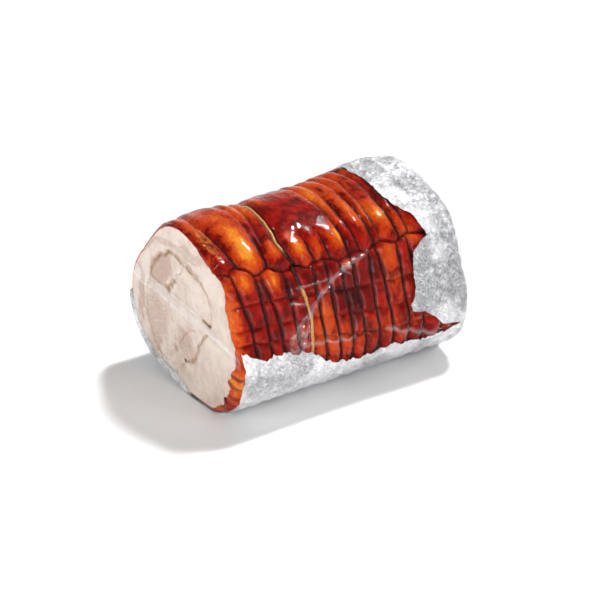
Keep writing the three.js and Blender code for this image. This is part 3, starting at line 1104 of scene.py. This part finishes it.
# Film folded flat on itself: a route of (along, angle), width and edge's rise.
FOLDS = (
    (((132, 145), (124, 147), (115, 148.5), (105, 151.5), (95, 155.5), (85, 161), (75, 166),
      (62, 173.5), (48, 181)), 3.4, 0.9),
    (((76, 167), (68, 175), (59, 188)), 2.6, 0.8), (((124, 150), (119, 148), (114, 145.5)), 5.0, 1.6),
    (((112, 147), (116, 151), (121, 153)), 3.0, 1.2),
    (((64, 151.5), (85, 152), (108, 151.5), (118, 149)), 0.9, 0.5),
    (((58, 160), (66, 161), (76, 163)), 1.1, 0.5),
    (((48, 184), (62, 183), (85, 186), (100, 188), (118, 189)), 1.0, 0.5),
    (((46, 182), (52, 187), (62, 187)), 2.2, 0.8), (((86, 160), (74, 172), (66, 184)), 0.8, 0.5),
    (((200, 205), (220, 206), (238, 207)), 1.6, 0.8), (((238, 182), (241, 188), (240, 194)), 4.0, 2.0),
    (((239, 99), (240.5, 112)), 3.0, 1.4), (((238, 150), (240, 170), (239, 196)), 4.5, 1.8),
    (((150, 143), (138, 144), (126, 146.5)), 0.9, 0.4), (((-2, 7.5), (1, 11), (5, 10.5)), 4.0, 2.2),
    (((222, 126), (218, 140), (219, 156), (223, 172), (227, 186)), 3.6, 0.9),
    (((232, 138), (234, 160), (233, 182)), 2.6, 0.8),
    (((214, 104), (224, 112), (236, 116)), 1.6, 0.7), (((204, 190), (212, 194), (222, 196)), 1.6, 0.6),
    (((12, 194), (30, 199), (52, 203)), 2.2, 0.6), (((2, 190), (14, 196), (22, 204)), 1.4, 0.6),
)


def fold_ribbon(number, material, over, route, width, rise):
    """A narrow flap of doubled film, cloudy at its two edges."""
    steps = np.array(route, float)
    reach = np.hypot(np.diff(steps[:, 0]), ARC * np.diff(steps[:, 1]))
    run = np.concatenate([[0], np.cumsum(reach)])
    at = np.linspace(0, run[-1], max(6, int(run[-1] / 0.8)))
    along, angle = np.interp(at, run, steps[:, 0]), np.interp(at, run, steps[:, 1])
    lean = np.gradient(along), ARC * np.gradient(angle)
    size = np.hypot(*lean)
    taper = np.clip(np.minimum(at, run[-1] - at) / 4, 0.15, 1)
    across = np.linspace(-0.5, 0.5, 9)
    waver = 0.35 * NOISE_A(on_roll(along, angle, 0), 5)
    side = (across[None, :] + waver[:, None]) * (width * taper)[:, None]
    u = along[:, None] - side * (lean[1] / size)[:, None]
    v = angle[:, None] + side * (lean[0] / size)[:, None] / ARC
    height = read_grid(over, np.clip(u, 0, LENGTH), v) + 0.9
    height = height + rise * np.abs(2 * across[None, :]) ** 3 * taper[:, None]
    edge = 0.16 + 0.5 * np.abs(2 * across[None, :]) ** 4 + 0 * u
    values = {"milky": edge}
    return make_mesh(f"fold_{number}", on_roll(u, v, height), values=values, materials=(material,))


# Where the film isn't drawn tight and crinkles: (along, angle), half sizes, how
# much.
LOOSE = (((122, 113), 12, 13, 0.9), ((97, 111), 10, 8, 0.3), ((7, 112), 6, 20, 0.8))


def film_barrel(over, taut):
    """The film along the roll: how it lies, and how cloudy it is."""
    along, angle = np.meshgrid(BARREL_ROWS, ANGLES, indexing="ij")
    spot = on_roll(along, angle, 0)
    rise, mask = pleat_height(along, angle)
    loose = marks(along, angle, LOOSE)
    slack = 0.12 * NOISE_A(spot, 9) + (0.06 + 0.45 * loose) * NOISE_B(spot, 2.8)
    slack = slack + 0.35 * loose * NOISE_C(spot, 1.7)
    over_foil = (along > through(CUP_EDGE, angle) - 2) | (angle > through(TONGUE_EDGE, along) - 2)
    cover = soften((over_foil | (angle < -6)).astype(float), 3)
    height = over * (1 - cover) + np.maximum(taut, over) * cover + 0.5 + 1.2 * cover + slack + 0.5 * rise
    height = height + np.clip(1 - along / 3, 0, 1) * 0.3 + twine_ridge(along, angle)
    barrel = on_roll(along, angle, height)
    barrel[..., 0] -= 1.2 * np.clip(1 - along / 2.0, 0, 1)
    return barrel, mask * 0.35 + 0.28 * web(along, angle)


def film_face(rim):
    """The film over the cut face, and how cloudy it is."""
    share = inner_shares(FACE_FILM_RINGS)
    face = fan(axis_point(0, -FACE_FILM), rim, share)
    y, z = face[..., 1] - AXIS_Y, face[..., 2] - AXIS_HEIGHT
    rise = np.zeros_like(y)
    mask = np.zeros_like(y)
    texture = 0.7 + 0.5 * NOISE_C(on_cut(0.4 * y, z), 1.6)
    for route, tall, width, cloudy in FACE_PLEATS:
        away = line_distance(y, z, route)
        rise = np.maximum(rise, tall * np.exp(-((away / width) ** 4)))
        mask = np.maximum(mask, cloudy * texture * np.exp(-((away / (1.1 * width)) ** 4)))
    face[..., 0] -= rise + 0.25 * NOISE_B(on_cut(y, z), 10) * ease(1, 0.9, share[..., 0])
    return face, mask


def film_tail(rim):
    """The film drawn in behind the wrapped end, to a flat seal that curls up."""
    spot = on_circle(30, ANGLES)
    ripple = 0.7 * NOISE_A(spot, 5)
    narrow = 1 - TAIL_HALF / np.abs(rim[:, 1] - AXIS_Y).max()
    middle = axis_point(LENGTH)
    rings = []
    for t in np.linspace(0, 1, SQUEEZE_RINGS + 1)[1:]:
        squeeze = ease(0, 0.9, t)
        ring = middle + (rim - middle) * (1, 1 - narrow * squeeze, 1 - FLAT * squeeze)
        ring[:, 0] = middle[0] + 5.0 * ease(0, 0.2, t) + 0.7 * t + ripple * (1 - t)
        rings.append(ring)
    seal = rings[-1]
    curl = 2.4 * NOISE_B(seal * (0, 1, 0), 20)
    for t in np.linspace(0, 1, TAIL_RINGS + 1)[1:]:
        rings.append(seal + np.stack([TAIL_LENGTH * t + 0 * curl, 0 * curl, t * (7 * t + curl)], -1))
    cloudy = 0.3 * ease(0.35, 0.8, np.abs(NOISE_B(spot, 3.5))) * np.ones((len(rings), 1))
    cloudy[SQUEEZE_RINGS - 1:] = 1.3
    cloudy[SQUEEZE_RINGS + 3:SQUEEZE_RINGS + 8] = 1.9
    return np.array(rings), cloudy


def make_bag(material, over, taut):
    barrel, barrel_cloud = film_barrel(over, taut)
    face, face_cloud = film_face(barrel[0])
    tail, tail_cloud = film_tail(barrel[-1])
    milky = np.clip(np.concatenate([face_cloud, barrel_cloud, tail_cloud]), 0, 1.9)
    points = np.concatenate([face, barrel, tail])
    bag = make_mesh("bag", points, True, {"milky": milky}, (material,))
    folds = [fold_ribbon(number, material, taut, *fold) for number, fold in enumerate(FOLDS)]
    return joined([bag, *folds], "film_bag")


def film_finish():
    """Clear glossy film, a little cloudy where it is folded double."""
    finish = Finish("clear_film")
    milky = finish.value("milky")
    ripple = finish.noise(140, 3, 0.5)
    fine = finish.noise(700, 3, 0.5)
    normal = finish.bump(ripple * 0.8 + fine * 0.2, 0.35, 0.3)
    fresnel = finish.node("ShaderNodeFresnel", None, {"IOR": 1.23, "Normal": normal})
    sheen = Signal(finish, fresnel.outputs[0])
    opacity = sheen.math("MINIMUM", sheen, 0.24) + milky * 0.42
    clear = finish.node("ShaderNodeBsdfTransparent").outputs[0]
    gloss = finish.principled(
        base_color=(0.95, 0.96, 0.97, 1), roughness=0.045, metallic=0.9, normal=normal)
    mixed = finish.node("ShaderNodeMixShader", None, {0: opacity, 1: clear, 2: gloss})
    return finish.done(mixed.outputs[0])


# ---------------------------------------------------------------------------
# The studio
# ---------------------------------------------------------------------------


CAMERA_TURN = -34.84  # degrees round from facing +Y
CAMERA_RISE = 26.0  # degrees over the table
CAMERA_AWAY = 1.8055  # metres
AIM_HEIGHT = 72.3
CENTRE = (0, 0, 0.07)  # where the lights are turned to

# Soft boxes: name, place, width, height, watts, and whether it fills in matt
# surfaces and whether it shines in glossy ones.
LOW = (-1.1, -1.12, 0.22)
FRONT = (0.45, -1.5, 1.25)
BOXES = (
    ("low_fill", LOW, 0.5, 0.4, 10, True, False),
    ("front_fill", FRONT, 0.7, 0.4, 7, True, False),
    ("side_fill", (-1.5, -0.3, 0.9), 0.6, 0.6, 6, True, True),
    ("low_box", LOW, 0.15, 0.3, 14, False, True),
    ("front_box", FRONT, 0.24, 0.12, 10, False, True),
)


def turned(piece, towards, front):
    piece.rotation_mode = "QUATERNION"
    piece.rotation_quaternion = Vector(towards).to_track_quat(front, "Y")


def make_camera():
    data = bpy.data.cameras.new("studio_camera")
    data.lens = 120.85
    data.sensor_width = 36
    data.shift_y = -0.0247
    camera = placed("studio_camera", data)
    bpy.context.scene.camera = camera
    turn, rise = math.radians(CAMERA_TURN), math.radians(CAMERA_RISE)
    back = Vector((math.sin(turn) * math.cos(rise), -math.cos(turn) * math.cos(rise), math.sin(rise)))
    aim = Vector((roast_low.x + LENGTH / 2, AXIS_Y, AIM_HEIGHT)) * MM
    camera.location = aim + back * CAMERA_AWAY
    turned(camera, -back, "-Z")


def make_box(name, at, width, height, power, fills, shines):
    data = bpy.data.lights.new(name, "AREA")
    data.shape = "RECTANGLE"
    data.size = width
    data.size_y = height
    data.energy = power
    light = placed(name, data)
    light.location = at
    light.visible_diffuse = fills
    light.visible_glossy = shines
    turned(light, Vector(CENTRE) - Vector(at), "-Z")


def make_sun(towards, strength, width):
    data = bpy.data.lights.new("key_light", "SUN")
    data.energy = strength
    data.angle = math.radians(width)
    turned(placed("key_light", data), towards, "Z")


def make_air():
    """Dim overhead and bright low down, like the white walls of a studio."""
    world = bpy.data.worlds.new("studio_air")
    world.use_nodes = True
    nodes = world.node_tree.nodes
    links = world.node_tree.links
    place = nodes.new("ShaderNodeTexCoord")
    split = nodes.new("ShaderNodeSeparateXYZ")
    level = nodes.new("ShaderNodeMapRange")
    level.interpolation_type = "SMOOTHSTEP"
    levels = {"From Min": 0.12, "From Max": 0.45, "To Min": 1.0, "To Max": 0.34}
    for name, value in levels.items():
        level.inputs[name].default_value = value
    links.new(place.outputs["Generated"], split.inputs[0])
    links.new(split.outputs["Z"], level.inputs["Value"])
    links.new(level.outputs["Result"], nodes["Background"].inputs["Strength"])
    nodes["Background"].inputs["Color"].default_value = (1, 1, 1, 1)
    bpy.context.scene.world = world


def make_floor(reach):
    corners = [(-reach, -reach, 0), (reach, -reach, 0), (reach, reach, 0), (-reach, reach, 0)]
    mesh = bpy.data.meshes.new("studio_floor")
    mesh.from_pydata(corners, [], [(0, 1, 2, 3)])
    finish = Finish("white_paper")
    paper = finish.blend(finish.noise(3, 2), (0.93, 0.93, 0.93, 1), (0.95, 0.95, 0.95, 1))
    mesh.materials.append(finish.done(finish.principled(base_color=paper, roughness=0.8)))
    floor = placed("studio_floor", mesh)
    floor.location.z = -0.0002  # just clear of the pack's flat underside


def make_studio():
    make_floor(30.0)
    make_air()
    make_sun((0.5, 0.14, 0.92), 3.3, 9)
    for box in BOXES:
        make_box(*box)
    view = bpy.context.scene.view_settings
    view.view_transform = "Standard"
    view.look = "Medium High Contrast"
    view.exposure = -0.4


# ---------------------------------------------------------------------------
# Everything together
# ---------------------------------------------------------------------------

make_camera()
make_studio()

# How sheets lie over the rind: clinging in the grooves, or taut across them.
_, _, rind_height, _ = barrel_grid()
clinging = 0.1 * soften(spread(rind_height, 3), 1) + 0.9 * rind_height
clear_of_rind = soften(spread(rind_height, 1), 1) + 0.3
taut = np.maximum(soften(spread(rind_height, 7), 14), clear_of_rind)

roast = make_roast(rind_finish(), meat_finish())
net = make_net(cord_finish())
foil = make_foil(foil_finish(), taut)
bag = make_bag(film_finish(), clinging, taut)

for piece, node, slot in ((roast, "roast", "roast"), (net, "netting", "netting"),
                          (foil, "foil_wrap", "foil"), (bag, "vacuum_bag", "film")):
    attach(piece, "root")
    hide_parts(node)
